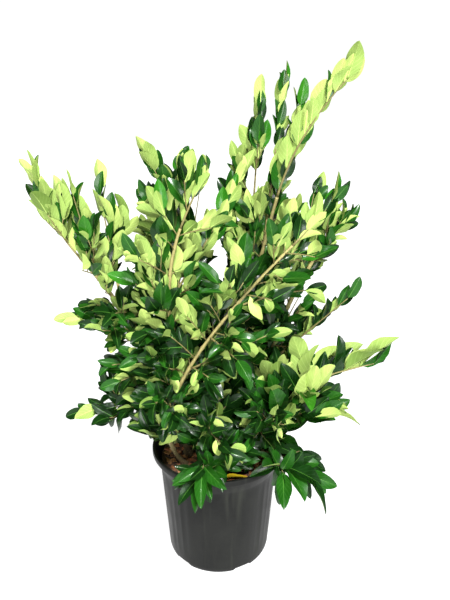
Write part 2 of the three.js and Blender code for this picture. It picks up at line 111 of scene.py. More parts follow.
# Ranges of a leaf's form; it curls more on a level shoot, and its lift is a share of the shoot's.
FORM = {
    "fold": (0.2, 0.65), "curl": (-0.1, 0.45), "level_curl": 0.5, "wave": (0.06, 0.24), "twist": 0.5,
    "lift": (0.2, 1), "width": (0.8, 1.12),
}
TIP_LEAVES = ((1.15, 0, 1), (0.8, math.pi, 3))  # size, turn and spread of the two at a shoot's tip
LEAF_STATIONS = (0, 0.09, 0.15, 0.26, 0.4, 0.55, 0.7, 0.83, 0.93)
LEAF_SIDES = (-1, -0.52, 0, 0, 0.52, 1)  # the two in the middle are the edges of the midrib
COLUMNS = len(LEAF_SIDES)
STALK_ROWS = 3  # stations that may touch what the leaf grows from
OWN_ROWS = (3, 2)  # and its own shoot, where that is upright or level

# Main stems: foot on the soil, bend, top, and radius at foot and top.
STEMS = {
    "tall": ((22, 4), (44, 18, 510), (108, -20, 772), (6.8, 2.8)),
    "right": ((-64, -40), (-180, -132, 390), (126, -128, 708), (4.4, 2.1)),
    "middle": ((-4, -46), (-128, -112, 560), (-60, -120, 735), (5.6, 2.5)),
    "middle_left": ((-28, 16), (-44, 14, 500), (-74, -20, 745), (6.5, 3)),
    "left": ((-62, -6), (-110, -52, 500), (-245, -66, 672), (7, 3)),
    "right_low": ((54, -22), (110, -66, 400), (198, -88, 446), (6, 3)),
    "right_high": ((52, 22), (96, 34, 480), (190, 22, 650), (6.5, 3)),
    "back_left": ((-30, 52), (-52, 122, 450), (-112, 172, 600), (6.5, 3)),
    "back_right": ((20, 54), (62, 124, 440), (112, 176, 580), (6.5, 3)),
}

# Leafy shoots: stem, where along it (1 is its top), tip, lift of the middle, bare share, leaf size.
SHOOTS = {
    "tall_right": ("tall", 1, (212, -60, 968), 0, 0, 1.2),
    "tall_centre": ("tall", 0.5, (76, 0, 930), 20, 0.5, 1),
    "tall_thin": ("tall", 0.84, (118, 24, 956), 20, 0.3, 0.95),
    "tall_second": ("tall", 0.88, (143, -14, 926), 0, 0, 0.95),
    "right_long": ("right", 1, (188, -132, 782), 0, 0, 1),
    "right_side": ("right", 0.74, (156, -156, 640), 12, 0, 1),
    "middle_front": ("middle", 1, (-16, -122, 826), 0, 0, 1.08),
    "middle_centre": ("middle", 0.74, (44, -46, 812), -10, 0, 1),
    "middle_left": ("middle_left", 1, (-118, -28, 834), 0, 0, 1),
    "left_upper": ("left", 0.74, (-212, -20, 782), 0, 0.35, 1.15),
    "far_left": ("left", 1, (-308, -62, 802), 0, 0, 1.15),
    "left_side": ("left", 0.62, (-258, -64, 558), 14, 0, 0.88),
    "left_low": ("left", 0.45, (-200, -96, 474), 16, 0, 0.85),
    "left_lowest": ("left", 0.22, (-270, -24, 342), 20, 0.4, 1),
    "low_left": ("left", 0.08, (-180, 10, 268), 18, 0, 0.65),
    "right_low": ("right_low", 1, (290, -92, 476), 0, 0, 1.75),
    "right_middle": ("right_high", 0.42, (240, -58, 592), 0, 0.3, 0.95),
    "right_bright": ("right_low", 0.5, (182, -150, 394), 16, 0, 1.5),
    "rim_right": ("right_low", 0.1, (176, -132, 256), 28, 0, 1.45),
    "right_high": ("right_high", 1, (242, 20, 716), 0, 0, 0.92),
    "right_back": ("right_high", 0.7, (184, 130, 620), 0, 0, 1),
    "back_left": ("back_left", 1, (-156, 192, 716), 0, 0, 1),
    "back_left_side": ("back_left", 0.6, (-202, 172, 500), 10, 0.3, 1),
    "back_low_left": ("back_left", 0.34, (-126, 252, 392), 16, 0, 1),
    "back_tall": ("back_left", 0.75, (-34, 128, 790), 0, 0, 1),
    "back_right": ("back_right", 1, (166, 206, 700), 0, 0, 1),
    "back_right_side": ("back_right", 0.62, (206, 180, 480), 10, 0.3, 1),
    "back_low_right": ("back_right", 0.36, (126, 262, 386), 16, 0, 1),
    "back_centre": ("back_right", 0.72, (12, 252, 560), 0, 0, 1),
    "rim_front": ("middle", 0.06, (-26, -182, 312), 26, 0, 1.4),
    "front_centre": ("middle", 0.2, (14, -192, 352), 26, 0, 0.9),
    "front_left": ("right", 0.34, (-104, -190, 448), 20, 0, 0.9),
    "front_right": ("right_low", 0.34, (104, -182, 420), 10, 0, 0.9),
    "front_high": ("right", 0.62, (34, -186, 528), 0, 0, 0.9),
    "left_high": ("left", 0.9, (-240, -92, 784), 0, 0, 0.95),
    "centre_right": ("right_high", 0.5, (150, -66, 600), 0, 0, 1),
    "centre": ("tall", 0.36, (10, -44, 600), 0, 0, 1),
    "centre_high": ("tall", 0.44, (26, -36, 770), 0, 0, 1.05),
    "centre_front": ("right", 0.48, (84, -160, 560), 0, 0, 0.9),
    "left_front": ("left", 0.36, (-112, -156, 520), 0, 0, 0.9),
    "low_back_left": ("back_left", 0.1, (-168, 112, 322), 10, 0, 1),
    "low_back_right": ("back_right", 0.1, (172, 118, 318), 10, 0, 1),
}

# Lift of the leaves, where it isn't worked out from the height of the shoot's tip.
POISE = {
    "tall_right": 1.7, "far_left": 0.45, "right_low": 0.9, "right_bright": 0.1, "left_side": -0.3,
    "right_middle": 0.9, "rim_right": -0.5, "rim_front": -0.4, "low_left": 0.1,
}
POISE_RISE = {"level_at": 660, "over": 220, "least": -0.25, "most": 0.8}  # by the tip's height
CROWN = (380, 840)  # heights between which leaves turn from old to young

# How young leaves are and the share that turn their undersides out, where that height doesn't say.
YOUTH = {"rim_front": 0.6, "rim_right": 0.6, "right_bright": 0.8, "right_low": 0.8}
TURNED = {
    "right_low": 0.5, "right_bright": 0.5, "tall_right": 0.7, "far_left": 0.75, "left_upper": 0.7,
    "rim_front": 0, "rim_right": 0,
}

# How fresh a leaf's upper side is and how pale its lower one: least, by youth, by place, chance, steps.
FRESH = (0.13, 0.09, 0.14, 0.22, 4.2)
PALE = (0.4, 0.14, 0.05, 0.3, 3.4)

# How far apart the leaf pairs stand, against the others.
SPACING = {"right_low": 1.6, "right_middle": 1.2, "tall_centre": 0.85, "tall_thin": 0.85, "tall_second": 0.85}

# How wide the leaves are, against the others.
SLIM = {"rim_front": 0.8, "rim_right": 0.85}

# Shoots with no side twigs.
SLENDER = ("tall_right", "tall_thin", "right_low", "right_middle", "low_left")

# Gaps of sky between the shoots: triangles in x and z on the plane y = -60, as the camera sees them.
EYE = np.array([14.0, -1036.0, 922.0])
SKY_PLANE = -60
SKY = {
    "under_far_left": ((-336, 784), (-196, 595), (-370, 595)),
    "left_of_left_upper": ((-235, 845), (-210, 835), (-220, 730)),
    "right_of_left_upper": ((-180, 860), (-135, 855), (-145, 730)),
    "right_of_middle_left": ((-100, 895), (-45, 875), (-85, 830)),
    "right_of_middle_front": ((-20, 890), (30, 890), (-5, 795)),
    "by_tall_centre": ((80, 868), (100, 872), (78, 785)),
    "right_of_tall_top": ((240, 955), (150, 872), (210, 845)),
    "right_of_tall_foot": ((155, 875), (122, 785), (180, 830)),
    "under_right_high": ((258, 740), (160, 615), (240, 650)),
    "under_right_middle": ((225, 560), (145, 490), (210, 505)),
    "over_right_low": ((225, 564), (340, 566), (220, 518)),
    "under_right_low": ((340, 475), (205, 430), (280, 400)),
    "under_right_bright": ((270, 345), (130, 312), (200, 259)),
    "under_left_side": ((-315, 535), (-215, 525), (-260, 490)),
    "left_of_left_low": ((-278, 514), (-226, 500), (-240, 402)),
    "under_left_lowest": ((-315, 345), (-164, 296), (-245, 220)),
    "left_of_rim": ((-238, 298), (-139, 292), (-147, 228)),
    "left_of_middle_front": ((-50, 780), (-15, 787), (-30, 717)),
    "under_tall_centre": ((43, 816), (77, 811), (61, 777)),
    "right_window": ((119, 596), (152, 594), (137, 552)),
    "centre_window": ((-9, 662), (19, 671), (7, 619)),
    "far_left_window": ((-213, 731), (-188, 736), (-202, 711)),
    "left_window": ((-73, 636), (-57, 638), (-65, 605)),
    "over_right_long": ((125, 782), (179, 827), (159, 789)),
    "left_of_right_middle": ((153, 615), (167, 617), (158, 570)),
    "right_of_right_middle": ((198, 628), (226, 634), (209, 588)),
    "by_left_low": ((-254, 439), (-228, 448), (-233, 409)),
    "over_left_low": ((-235, 514), (-210, 516), (-227, 489)),
    "over_rim": ((-186, 320), (-133, 299), (-177, 299)),
}

# What no leaf hides from the camera: stretches of stems and shoots, a patch of bark mix, part of the rim.
SHOWN_STEMS = (("right", 0.46, 0.7), ("right", 0.78, 0.98), ("middle", 0.85, 1.0), ("tall", 0.85, 1.0))
SHOWN_SHOOTS = (("middle_front", 0.0, 0.5), ("tall_right", 0.0, 0.6), ("right_long", 0.0, 0.5))
SHOWN_SOIL = ((-86, -10), 24)  # middle and half size
SHOWN_RIM = np.arange(184, 232, 1.2)  # degrees round the pot
SIGHT = {"from": 6, "half": 3.5, "step": 0.8, "stem": 150, "shoot": 110, "pot": 420, "fallen": 320}

# A yellow leaf that lies on the bark mix, against the front of the rim.
FALLEN_ROOT = np.array([10.0, -110.0, 240.0])
FALLEN_ALONG = np.array([0.99, 0.1, 0.08])
FALLEN_SIZE = (56, 25)
FALLEN_FORM = (0.3, 0.4, 0.1, 1.0, 0.2)
FALLEN_ROLL = -0.9
FALLEN_SHOWN = (16, 44)  # the stretch of it that stays in sight


# Materials


def linear(red, green, blue):
    """A shader colour for a colour given from 0 to 255, as a screen shows it."""
    channels = [c / 255 for c in (red, green, blue)]
    return tuple(c / 12.92 if c <= 0.04045 else ((c + 0.055) / 1.055) ** 2.4 for c in channels) + (1.0,)


SOCKETS = {
    "coat_weight": "Coat Weight", "coat_roughness": "Coat Roughness",
    "specular_ior_level": "Specular IOR Level",
}
VEINS, VEIN_SLANT, VEIN_PALER = 44.0, 34.0, 40


class Nodes:
    """A material's node tree, written a node to a line."""

    def __init__(self, name):
        self.material = bpy.data.materials.new(name)
        self.material.use_nodes = True
        self.tree = self.material.node_tree
        self.shader = self.tree.nodes["Principled BSDF"]

    def add(self, kind, inputs=(), **settings):
        node = self.tree.nodes.new(kind)
        for key, value in settings.items():
            setattr(node, key, value)
        for key, value in dict(inputs).items():
            self.put(node.inputs[key], value)
        return node

    def put(self, socket, value):
        if isinstance(value, bpy.types.NodeSocket):
            self.tree.links.new(value, socket)
        else:
            socket.default_value = value

    def math(self, operation, a, b=0.0):
        return self.add("ShaderNodeMath", {0: a, 1: b}, operation=operation).outputs[0]

    def noise(self, place, scale, detail=3.0, rough=0.55):
        inputs = {"Vector": place, "Scale": scale, "Detail": detail, "Roughness": rough}
        return self.add("ShaderNodeTexNoise", inputs).outputs["Fac"]

    def ranged(self, value, low, high, to_low=0.0, to_high=1.0):
        inputs = {"Value": value, 1: low, 2: high, 3: to_low, 4: to_high}
        return self.add("ShaderNodeMapRange", inputs).outputs[0]

    def mixed(self, share, first, second):
        node = self.add("ShaderNodeMix", data_type="RGBA")
        sockets = [s for s in node.inputs if s.type == "RGBA"]
        self.put(node.inputs[0], share)
        self.put(sockets[0], first)
        self.put(sockets[1], second)
        return [s for s in node.outputs if s.type == "RGBA"][0]

    def bump(self, height, strength, distance):
        inputs = {"Height": height, "Strength": strength, "Distance": distance}
        return self.add("ShaderNodeBump", inputs).outputs[0]

    def finish(self, colour, roughness, normal, **others):
        self.put(self.shader.inputs["Base Color"], colour)
        self.put(self.shader.inputs["Roughness"], roughness)
        self.put(self.shader.inputs["Normal"], normal)
        for key, value in others.items():
            self.shader.inputs[SOCKETS[key]].default_value = value
        return self.material


def leaf_material(name, shade, mottle, roughness, coat, vein):
    """Leaf skin: mottled, with side veins that run from the midrib towards the tip."""
    n = Nodes(name)
    place = n.add("ShaderNodeTexCoord")
    along = n.add("ShaderNodeSeparateXYZ", {0: place.outputs["UV"]}).outputs
    off_rib = n.math("ABSOLUTE", n.math("SUBTRACT", along[1], 0.5))
    slant = n.math("MULTIPLY", off_rib, VEIN_SLANT)
    phase = n.math("SUBTRACT", n.math("MULTIPLY", along[0], VEINS), slant)
    veins = n.ranged(n.math("SINE", phase), 0.82, 1.0)
    patches = n.noise(place.outputs["Object"], 42.0)
    grain = n.noise(place.outputs["Object"], 420.0, 2.0)
    base = n.mixed(n.ranged(patches, 0.35, 0.68), linear(*shade), linear(*mottle))
    paler = linear(*[min(255, c + VEIN_PALER) for c in mottle])
    colour = n.mixed(n.math("MULTIPLY", veins, vein), base, paler)
    rough = n.ranged(patches, 0.3, 0.7, roughness - 0.05, roughness + 0.08)
    height = n.math("ADD", n.math("MULTIPLY", veins, -0.6), n.math("MULTIPLY", grain, 0.2))
    normal = n.bump(height, 0.15, 0.0006)
    return n.finish(colour, rough, normal, coat_weight=coat, coat_roughness=0.16, specular_ior_level=0.12)


def bark_material(name, low, high, fleck):
    """Smooth young bark, browner near the soil, with pale pores and fine streaks."""
    n = Nodes(name)
    place = n.add("ShaderNodeTexCoord").outputs["Object"]
    height = n.add("ShaderNodeSeparateXYZ", {0: place}).outputs[2]
    long = n.add("ShaderNodeMapping", {"Vector": place, "Scale": (1.0, 1.0, 0.22)}).outputs[0]
    streak = n.noise(long, 260.0, 4.0)
    patch = n.noise(place, 48.0, 3.0)
    pores = n.ranged(n.noise(place, 330.0, 1.0), 0.63, 0.72)
    climb = n.ranged(n.math("ADD", height, n.math("MULTIPLY", patch, 0.16)), 0.3, 0.52)
    base = n.mixed(climb, linear(*low), linear(*high))
    worn = n.mixed(n.ranged(streak, 0.35, 0.75, 0.0, 0.55), base, linear(*[c * 0.62 for c in high]))
    colour = n.mixed(n.math("MULTIPLY", pores, 0.6), worn, linear(*fleck))
    rough = n.ranged(streak, 0.3, 0.7, 0.55, 0.85)
    normal = n.bump(n.math("ADD", streak, n.math("MULTIPLY", pores, 0.7)), 0.5, 0.0008)
    return n.finish(colour, rough, normal)


def chip_material(name, shade, dark):
    """A bark chip: fibrous and dry."""
    n = Nodes(name)
    place = n.add("ShaderNodeTexCoord").outputs["Object"]
    long = n.add("ShaderNodeMapping", {"Vector": place, "Scale": (1.0, 0.3, 1.0)}).outputs[0]
    fibre = n.noise(long, 300.0, 5.0)
    blotch = n.noise(place, 60.0)
    base = n.mixed(n.ranged(fibre, 0.35, 0.7), linear(*dark), linear(*shade))
    colour = n.mixed(n.ranged(blotch, 0.4, 0.7, 0.0, 0.6), base, linear(*[c * 0.55 for c in dark]))
    return n.finish(colour, n.ranged(fibre, 0.2, 0.8, 0.8, 0.98), n.bump(fibre, 0.6, 0.001))


def plastic_material():
    """Blown black plastic: greyed, with long pale streaks, dust and a fine grain."""
    n = Nodes("pot_plastic")
    place = n.add("ShaderNodeTexCoord").outputs["Object"]
    tall = n.add("ShaderNodeMapping", {"Vector": place, "Scale": (1.0, 1.0, 0.06)}).outputs[0]
    streak = n.noise(tall, 46.0, 4.0)
    dust = n.noise(place, 14.0, 5.0, 0.65)
    grain = n.noise(place, 900.0, 2.0)
    base = n.mixed(n.ranged(dust, 0.38, 0.72), linear(13, 14, 13), linear(24, 25, 23))
    colour = n.mixed(n.ranged(streak, 0.54, 0.78, 0.0, 0.5), base, linear(46, 48, 42))
    rough = n.ranged(n.math("ADD", dust, streak), 0.7, 1.3, 0.36, 0.58)
    normal = n.bump(n.math("ADD", grain, streak), 0.12, 0.0006)
    return n.finish(colour, rough, normal, specular_ior_level=0.15)


def floor_material():
    n = Nodes("floor_white")
    place = n.add("ShaderNodeTexCoord").outputs["Object"]
    cloud = n.noise(place, 1.5)
    colour = n.mixed(cloud, linear(120, 120, 120), linear(124, 124, 124))
    n.shader.inputs["Emission Color"].default_value = (1, 1, 1, 1)
    n.shader.inputs["Emission Strength"].default_value = 0.97
    return n.finish(colour, n.ranged(cloud, 0.0, 1.0, 0.75, 0.85), n.bump(cloud, 0.02, 0.001))


UPPER = [
    leaf_material("leaf_deep", (7, 32, 4), (11, 42, 7), 0.32, 0.2, 0.16),
    leaf_material("leaf_dark", (18, 60, 9), (25, 72, 12), 0.32, 0.2, 0.18),
    leaf_material("leaf_green", (32, 88, 14), (42, 102, 18), 0.32, 0.2, 0.2),
    leaf_material("leaf_fresh", (58, 114, 26), (72, 126, 32), 0.32, 0.3, 0.22),
    leaf_material("leaf_young", (96, 142, 40), (110, 152, 48), 0.36, 0.2, 0.25),
]
LOWER = [
    leaf_material("under_shade", (92, 118, 50), (102, 128, 56), 0.5, 0.0, 0.25),
    leaf_material("under_pale", (122, 148, 72), (132, 156, 78), 0.5, 0.0, 0.3),
    leaf_material("under_lime", (148, 170, 88), (156, 178, 94), 0.48, 0.0, 0.3),
    leaf_material("under_yellow", (180, 196, 112), (186, 202, 118), 0.48, 0.0, 0.3),
]
RIB_UPPER = leaf_material("rib_upper", (58, 104, 34), (70, 116, 42), 0.36, 0.3, 0.0)
RIB_LOWER = leaf_material("rib_lower", (166, 190, 100), (176, 198, 112), 0.5, 0.0, 0.0)
LEAF_SKINS = [*UPPER, *LOWER, RIB_UPPER, RIB_LOWER]
FALLEN = leaf_material("leaf_fallen", (206, 182, 34), (190, 150, 30), 0.45, 0.1, 0.3)
BARK = bark_material("stem_bark", (62, 49, 35), (152, 142, 86), (184, 174, 124))
TWIG = bark_material("twig_bark", (80, 66, 42), (118, 110, 62), (148, 140, 98))
PLASTIC = plastic_material()
CHIPS = [
    chip_material("chip_rust", (176, 112, 68), (126, 76, 46)),
    chip_material("chip_brown", (136, 96, 64), (92, 62, 42)),
    chip_material("chip_pale", (198, 148, 98), (150, 104, 66)),
    chip_material("chip_dark", (84, 62, 48), (54, 40, 31)),
]
PEAT = chip_material("peat", (96, 68, 50), (62, 44, 33))


# Meshes


def linked(name, data):
    """A new object in the scene."""
    thing = bpy.data.objects.new(name, data)
    bpy.context.scene.collection.objects.link(thing)
    return thing


def add_piece(name, vertices, faces, materials, indices=None, uv=None, sharp=None, slot=None, stands_for=()):
    """A smooth mesh from millimetres, riding on the part; edges between two sharp vertices stay crisp."""
    mesh = bpy.data.meshes.new(name)
    mesh.from_pydata((np.asarray(vertices) * MM).tolist(), [], [list(f) for f in faces])
    for skin in materials:
        mesh.materials.append(skin)
    if indices is not None:
        mesh.polygons.foreach_set("material_index", np.asarray(indices, np.int32))
    mesh.polygons.foreach_set("use_smooth", np.ones(len(mesh.polygons), bool))
    if uv is not None:
        mesh.uv_layers.new(name="leaf").data.foreach_set("uv", np.asarray(uv, np.float32).ravel())
    if sharp is not None:
        ends = np.empty(len(mesh.edges) * 2, np.int32)
        mesh.edges.foreach_get("vertices", ends)
        crisp = np.asarray(sharp)[ends.reshape(-1, 2)].all(axis=1)
        mesh.attributes.new("sharp_edge", "BOOLEAN", "EDGE").data.foreach_set("value", crisp)
    mesh.validate()
    mesh.update()
    piece = linked(name, mesh)
    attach(piece, "root")
    if stands_for:
        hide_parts(*stands_for)
    return piece


class Shape:
    """Vertices and faces gathered for one piece."""

    def __init__(self):
        self.vertices, self.faces, self.indices = [], [], []
        self.count = 0

    def add(self, vertices, faces, index=0):
        self.vertices.append(np.asarray(vertices, float))
        self.faces.extend([tuple(v + self.count for v in f) for f in faces])
        self.indices.extend([index] * len(faces))
        self.count += len(vertices)

    def piece(self, name, materials, **others):
        return add_piece(name, np.concatenate(self.vertices), self.faces, materials, self.indices, **others)


def unit(v):
    return v / np.linalg.norm(v, axis=-1, keepdims=True)


def turned(v, axis, angle):
    """A vector turned about a unit axis."""
    cosine, sine = math.cos(angle), math.sin(angle)
    return v * cosine + np.cross(axis, v) * sine + axis * np.dot(axis, v) * (1 - cosine)


def blend(a, b, share):
    return a + (b - a) * share


def ring_faces(rings, sides):
    """Faces of a closed tube of rings, with flat ends."""
    faces = []
    for i in range(rings - 1):
        for k in range(sides):
            a, b = i * sides + k, i * sides + (k + 1) % sides
            faces.append((a, b, b + sides, a + sides))
    last = (rings - 1) * sides
    faces.append(tuple(range(sides))[::-1])
    faces.append(tuple(range(last, last + sides)))
    return faces


# Curves and limbs


class Curve:
    """A quadratic curve that is walked by its length."""

    def __init__(self, start, bend, end):
        self.start, self.bend, self.end = (np.array(p, float) for p in (start, bend, end))
        self.steps = np.linspace(0, 1, 81)
        runs = np.linalg.norm(np.diff(self.at(self.steps), axis=0), axis=1)
        self.run = np.concatenate([[0], np.cumsum(runs)])
        self.length = self.run[-1]

    def at(self, t):
        t = np.asarray(t, float)[..., None]
        return (1 - t) ** 2 * self.start + 2 * t * (1 - t) * self.bend + t**2 * self.end

    def parameter(self, share):
        return np.interp(np.asarray(share, float) * self.length, self.run, self.steps)

    def point(self, share):
        return self.at(self.parameter(share))

    def tangent(self, share):
        t = self.parameter(share)[..., None]
        return unit((1 - t) * (self.bend - self.start) + t * (self.end - self.bend))

    def stretch(self, low, high):
        start = self.at(low)
        slope = (1 - low) * (self.bend - self.start) + low * (self.end - self.bend)
        return Curve(start, start + slope * (high - low), self.at(high))


def tube(curve, radii, sides, rings, relief=None):
    """Rings of a tube along a curve; relief gives a height off it for each angle and run."""
    shares = np.linspace(0, 1, rings)
    centres, tangents = curve.point(shares), curve.tangent(shares)
    side = unit(np.cross(tangents, OFF_AXIS))
    other = np.cross(tangents, side)
    angles = np.arange(sides) * 2 * math.pi / sides
    reach = np.asarray(radii)[:, None] * np.ones(sides)
    if relief:
        reach = reach + relief(angles[None, :], shares[:, None] * curve.length, reach)
    out = side[:, None] * np.cos(angles)[None, :, None] + other[:, None] * np.sin(angles)[None, :, None]
    return (centres[:, None] + out * reach[..., None]).reshape(-1, 3)


def bark_relief(rng, length):
    """Shallow ridges, pairs of leaf scars and scattered pores."""
    drift, jitter = RELIEF["drift"], RELIEF["scar_jitter"]
    waves = [
        (n, rng.uniform(-drift, drift), rng.uniform(0, ROUND), RELIEF["ridge"] / n**0.6)
        for n in RELIEF["ridges"]
    ]
    scars = [
        (rng.uniform(-jitter, jitter) + RELIEF["scar_first"] + RELIEF["scar_pitch"] * i, i % 2)
        for i in range(int(length / RELIEF["scar_pitch"]))
    ]
    count = int(length / RELIEF["pore_pitch"])
    pores = [(rng.uniform(0, length), rng.uniform(0, ROUND)) for _ in range(count)]

    def relief(angle, run, radius):
        height = sum(a * np.sin(n * angle + f * run + p) for n, f, p, a in waves) * radius
        for place, quarter in scars:
            lobes = 0.5 + 0.5 * np.cos(2 * angle + quarter * math.pi)
            rise = np.exp(-(((run - place) / RELIEF["scar_half"]) ** 2))
            height = height + RELIEF["scar"] * radius * lobes * rise
        for place, turn in pores:
            off = np.angle(np.exp(1j * (angle - turn))) * radius
            spot = ((run - place) / RELIEF["pore_long"]) ** 2 + (off / RELIEF["pore_wide"]) ** 2
            height = height + RELIEF["pore"] * np.exp(-spot)
        return height

    return relief


def stem_radii(radius, shares, length):
    swell = np.maximum(0, 1 - shares * length / LIMB["flare_height"])
    return blend(*radius, shares) * (1 + (LIMB["flare"] - 1) * swell**2)


def bough_radii(shares):
    return blend(*LIMB["bough"], shares)


def add_limb(name, curve, radii_at, seed):
    """A stem or bough with bark relief, in place of its solid."""
    rings = int(curve.length / LIMB["ring_pitch"]) + 2
    relief = bark_relief(random.Random(seed), curve.length)
    shape = Shape()
    points = tube(curve, radii_at(np.linspace(0, 1, rings)), LIMB["sides"], rings, relief)
    shape.add(points, ring_faces(rings, LIMB["sides"]))
    shape.piece(f"bark_{name}", [BARK], slot="bark", stands_for=[name])


stems = {}
for seed, (name, (foot, bend, top, radius)) in enumerate(STEMS.items(), LIMB["stem_seed"]):
    stems[name] = Curve((*foot, SOIL["top"]), bend, top)
    sunk = Curve((*foot, SOIL["top"] - LIMB["sunk"]), bend, top)
    add_limb(f"stem_{name}", sunk, lambda shares, r=radius, c=sunk: stem_radii(r, shares, c.length), seed)

axes, boughs = {}, {}
for seed, (name, (stem, at, tip, lift, bare, _)) in enumerate(SHOOTS.items(), LIMB["bough_seed"]):
    start, end = stems[stem].point(at), np.array(tip, float)
    middle = (start + end) / 2
    if at == 1:
        middle = start + stems[stem].tangent(1) * 0.5 * np.linalg.norm(end - start)
    whole = Curve(start, middle + UP * lift, end)
    axes[name] = whole.stretch(bare, 1)
    if bare:
        boughs[name] = whole.stretch(0, bare)
        add_limb(f"bough_{name}", boughs[name], bough_radii, seed)


# Space round the shoots


def inner_radius(z):
    tall = POT["height"] - POT["collar_drop"] - POT["foot_round"]
    share = np.clip((z - POT["foot_round"]) / tall, 0, 1)
    return blend(POT["wall_foot"], POT["wall_top"], share) - POT["wall"]


class Room:
    """Which small cells of the air are taken, and by which spray."""

    CELL = 3.6
    LOW = np.array([-420.0, -420.0, 0.0])
    SIZE = (234, 234, 300)
    LIMBS = 999
    OVERHANG = 8.0  # how far a leaf may stand out of the solids' box
    FROM_WALL, FROM_SOIL, FROM_RIM = 4, 6, 2

    def __init__(self):
        self.owner = np.full(self.SIZE, -1, np.int16)
        low, high = (np.array(corner) / MM for corner in CAD_BOX)
        self.box = (low - self.OVERHANG, high + self.OVERHANG)

    def cells(self, points):
        cells = ((points - self.LOW) / self.CELL).astype(int)
        return tuple(np.clip(cells, 0, np.array(self.SIZE) - 1).T)

    def take(self, points, owner):
        self.owner[self.cells(points)] = owner

    def is_free(self, points, owner, inner=0):
        """True where all points are in free air; the inner few may cross their own spray."""
        if (points < self.box[0]).any() or (points > self.box[1]).any():
            return False
        radius, z = np.hypot(points[:, 0], points[:, 1]), points[:, 2]
        in_wall = radius < inner_radius(SOIL["top"]) - self.FROM_WALL
        over_soil = in_wall & (z > SOIL["top"] + self.FROM_SOIL)
        outside = (radius > POT["rim"] + self.FROM_RIM) | (z > POT["height"] + self.FROM_RIM)
        found = self.owner[self.cells(points)]
        others = (found >= 0) & (found != owner)
        return bool((over_soil | outside).all()) and not others.any() and not (found[inner:] == owner).any()


def in_sky(points):
    """True for each point that the camera sees in a gap of sky."""
    reach = (SKY_PLANE - EYE[1]) / (points[:, 1] - EYE[1])
    seen = (EYE + (points - EYE) * reach[:, None])[:, [0, 2]]
    corners = np.array(list(SKY.values()), float)
    sides = np.roll(corners, -1, axis=1) - corners
    off = seen[None, None] - corners[:, :, None]
    turns = sides[:, :, None, 0] * off[..., 1] - sides[:, :, None, 1] * off[..., 0]
    return ((turns > 0).all(axis=1) | (turns < 0).all(axis=1)).any(axis=0)


def keep_in_sight(points, reach):
    """Takes the lines from some points towards the camera, a finger wide."""
    ahead = unit(EYE - points)
    steps = np.arange(SIGHT["from"], reach, Room.CELL * SIGHT["step"])
    lines = points[:, None] + ahead[:, None] * steps[:, None]
    half = SIGHT["half"]
    widths = np.array([(x, 0, z) for x in (-half, 0, half) for z in (-half, 0, half)])
    room.take((lines[:, :, None] + widths).reshape(-1, 3), Room.LIMBS)


room = Room()
for limb in [*stems.values(), *boughs.values()]:
    room.take(limb.point(np.linspace(0, 1, 160)), Room.LIMBS)
for name, low, high in SHOWN_STEMS:
    keep_in_sight(stems[name].point(np.linspace(low, high, 120)), SIGHT["stem"])
for name, low, high in SHOWN_SHOOTS:
    keep_in_sight(axes[name].point(np.linspace(low, high, 60)), SIGHT["shoot"])
rim = [(POT["rim"] * math.cos(a), POT["rim"] * math.sin(a), POT["height"]) for a in np.radians(SHOWN_RIM)]
keep_in_sight(np.array(rim), SIGHT["pot"])
keep_in_sight(FALLEN_ROOT + FALLEN_ALONG * np.linspace(*FALLEN_SHOWN, 16)[:, None], SIGHT["fallen"])
grid = np.linspace(-1, 1, 5)
patch = np.array([(x, y, 0) for x in grid for y in grid]) * SHOWN_SOIL[1]
keep_in_sight(patch + np.array([*SHOWN_SOIL[0], SOIL["top"]]), SIGHT["pot"])
axis_points = np.stack([axis.point(np.linspace(0, 1, 17)) for axis in axes.values()])
axis_rows = {name: row for row, name in enumerate(axes)}


def in_own_space(points, name):
    """True where every point is about as near to its own shoot as to any other."""
    gaps = np.linalg.norm(axis_points[:, :, None] - points[None, None], axis=-1).min(axis=1)
    return bool((gaps[axis_rows[name]] < gaps.min(axis=0) + SPRAY["space"]).all())


# Leaves


def leaf_faces():
    """Faces, corner places and skin kinds of one leaf: an upper and a lower sheet that share the outline."""
    rows, columns = len(LEAF_STATIONS), COLUMNS
    tip = rows * columns
    upper = np.arange(rows * columns).reshape(rows, columns)
    lower = upper.copy()
    lower[1:, 1:-1] = tip + 1 + np.arange((rows - 1) * (columns - 2)).reshape(rows - 1, columns - 2)
    places = [(s, j / (columns - 1)) for s in (*LEAF_STATIONS, 1) for j in range(columns)]
    faces, corners, kinds = [], [], []
    for sheet, kind, flip in ((upper, 0, False), (lower, 1, True)):
        for i in range(rows):
            for j in range(columns - 1):
                ids = [(i, j), (i, j + 1), (i + 1, j + 1), (i + 1, j)]
                ids = [ids[2], ids[1], ids[0], ids[3]] if flip else ids
                if i + 1 == rows:
                    ids = [x for x in ids if x != (i + 1, j + 1)]
                faces.append(tuple(tip if a == rows else int(sheet[a, b]) for a, b in ids))
                corners.extend(places[a * columns + b] for a, b in ids)
                kinds.append(kind + (2 if j == columns // 2 - 1 else 0))
    outline = np.zeros(tip + 1 + (rows - 1) * (columns - 2), bool)
    outline[upper[:, 0]] = outline[upper[:, -1]] = outline[tip] = True
    return faces, corners, np.array(kinds), outline


FACES, CORNERS, KINDS, OUTLINE = leaf_faces()


def half_width(s, width):
    """Half of the blade's width along the leaf: a short stalk, a round shoulder and a drawn-out tip."""
    blade = np.clip((s - LEAF["stalk"]) / (1 - LEAF["stalk"]), 0, 1)
    shoulder, point = LEAF["shoulder"], LEAF["point"]
    widest = shoulder / (shoulder + point)
    oval = (blade / widest) ** shoulder * ((1 - blade) / (1 - widest)) ** point
    return np.maximum(width / 2 * oval, LEAF["stalk_half"] * (1 - LEAF["stalk_taper"] * s))


